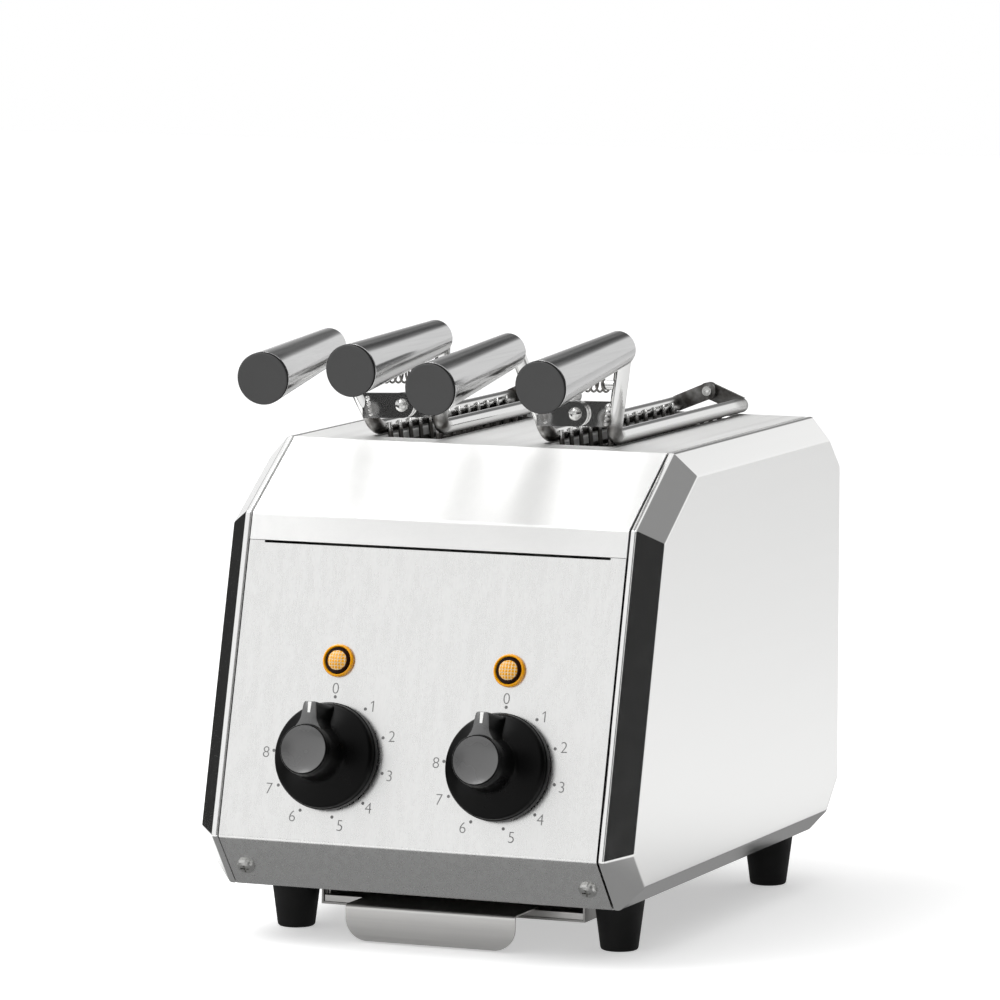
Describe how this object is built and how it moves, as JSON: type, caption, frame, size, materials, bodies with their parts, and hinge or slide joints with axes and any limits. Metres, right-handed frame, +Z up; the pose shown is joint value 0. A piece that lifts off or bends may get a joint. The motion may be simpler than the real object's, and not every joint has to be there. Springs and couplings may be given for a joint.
{
  "type": "sandwich toaster",
  "caption": "Counter toaster with bread slots in its top, a sloping panel with timer knobs and pilot lamps, a pull-out crumb tray, and lift-out spring tongs with wire cages.",
  "frame": {"origin": "under the middle of the whole object, on the table", "axes": "+X to the right seen from the front, +Y to the rear, +Z up"},
  "size_m": [0.225, 0.337, 0.2983],
  "materials": {
    "brushed_stainless": "fine brushed",
    "polished_stainless": "polished",
    "inner_sheet": "satin",
    "tray_sheet": "satin",
    "plated_wire": "plated",
    "tong_steel": "polished",
    "spring_steel": "drawn",
    "handle_plastic": "moulded",
    "cap_plastic": "moulded",
    "knob_plastic": "moulded",
    "foot_rubber": "matte",
    "zinc_screw": "plated",
    "quartz": "clear",
    "end_cap_ceramic": "unglazed",
    "lamp_amber": "clear amber",
    "housing_plastic": "moulded",
    "terminal_plastic": "moulded"
  },
  "bodies": {
    "toaster": {"side_shell_left": "brushed_stainless", "side_shell_right": "brushed_stainless", "top_cover": "polished_stainless", "front_panel": "brushed_stainless", "rear_panel": "brushed_stainless", "base_plate": "inner_sheet", "foot_front_left": "foot_rubber", "foot_front_right": "foot_rubber", "foot_rear_left": "foot_rubber", "foot_rear_right": "foot_rubber", "foot_screws": "zinc_screw", "foot_nuts": "zinc_screw", "front_panel_screws": "zinc_screw", "rear_panel_screws": "zinc_screw", "side_shell_screws": "zinc_screw", "tray_guide": "inner_sheet", "front_bulkhead": "inner_sheet", "rear_bulkhead": "inner_sheet", "heat_shield_left": "inner_sheet", "heat_shield_centre": "inner_sheet", "heat_shield_right": "inner_sheet", "heater_left_outer": "quartz", "heater_left_inner": "quartz", "heater_right_inner": "quartz", "heater_right_outer": "quartz", "heater_end_caps": "end_cap_ceramic", "guard_basket_left": "plated_wire", "guard_basket_right": "plated_wire", "timer_left": "housing_plastic", "timer_right": "housing_plastic", "timer_nuts": "zinc_screw", "lamp_lens_left": "lamp_amber", "lamp_lens_right": "lamp_amber", "lamp_body_left": "housing_plastic", "lamp_body_right": "housing_plastic", "terminal_block": "terminal_plastic", "cable_gland": "housing_plastic"},
    "knob_left": {"knob_left": "knob_plastic", "timer_shaft_left": "zinc_screw"},
    "knob_right": {"knob_right": "knob_plastic", "timer_shaft_right": "zinc_screw"},
    "crumb_tray": {"crumb_tray": "tray_sheet"},
    "tong_left": {"tong_left_frame_right": "tong_steel", "tong_left_handle_right": "handle_plastic", "tong_left_cap_right": "cap_plastic", "tong_left_front_rivet": "tong_steel", "tong_left_rear_rivet": "tong_steel", "tong_left_spring": "spring_steel"},
    "tong_left_jaw": {"tong_left_frame_left": "tong_steel", "tong_left_handle_left": "handle_plastic", "tong_left_cap_left": "cap_plastic"},
    "tong_right": {"tong_right_frame_right": "tong_steel", "tong_right_handle_right": "handle_plastic", "tong_right_cap_right": "cap_plastic", "tong_right_front_rivet": "tong_steel", "tong_right_rear_rivet": "tong_steel", "tong_right_spring": "spring_steel"},
    "tong_right_jaw": {"tong_right_frame_left": "tong_steel", "tong_right_handle_left": "handle_plastic", "tong_right_cap_left": "cap_plastic"}
  },
  "joints": [
    {"name": "knob_left_turn", "type": "hinge", "parent": "toaster", "child": "knob_left", "pos_m": [-0.0444, -0.13487, 0.0929], "axis": [0, 0.9668, -0.2554], "range_deg": [0, 273]},
    {"name": "knob_right_turn", "type": "hinge", "parent": "toaster", "child": "knob_right", "pos_m": [0.0444, -0.13487, 0.0929], "axis": [0, 0.9668, -0.2554], "range_deg": [0, 273]},
    {"name": "crumb_tray_slide", "type": "slide", "parent": "toaster", "child": "crumb_tray", "axis": [0, -1, 0], "range_m": [0, 0.2]},
    {"name": "tong_left_lift", "type": "slide", "parent": "toaster", "child": "tong_left", "axis": [0, 0, 1], "range_m": [0, 0.14]},
    {"name": "tong_left_open", "type": "hinge", "parent": "tong_left", "child": "tong_left_jaw", "pos_m": [-0.0458, -0.04159, 0.25427], "axis": [0.0012, 0.9997, -0.0254], "range_deg": [0, 7], "stiffness_Nm_per_rad": 0.22, "springref_deg": -20.05, "deforming": ["tong_left_spring"]},
    {"name": "tong_right_lift", "type": "slide", "parent": "toaster", "child": "tong_right", "axis": [0, 0, 1], "range_m": [0, 0.14]},
    {"name": "tong_right_open", "type": "hinge", "parent": "tong_right", "child": "tong_right_jaw", "pos_m": [0.0457, -0.04159, 0.25368], "axis": [0.0003, 0.9997, -0.0255], "range_deg": [0, 7], "stiffness_Nm_per_rad": 0.22, "springref_deg": -20.05, "deforming": ["tong_right_spring"]}
  ]
}
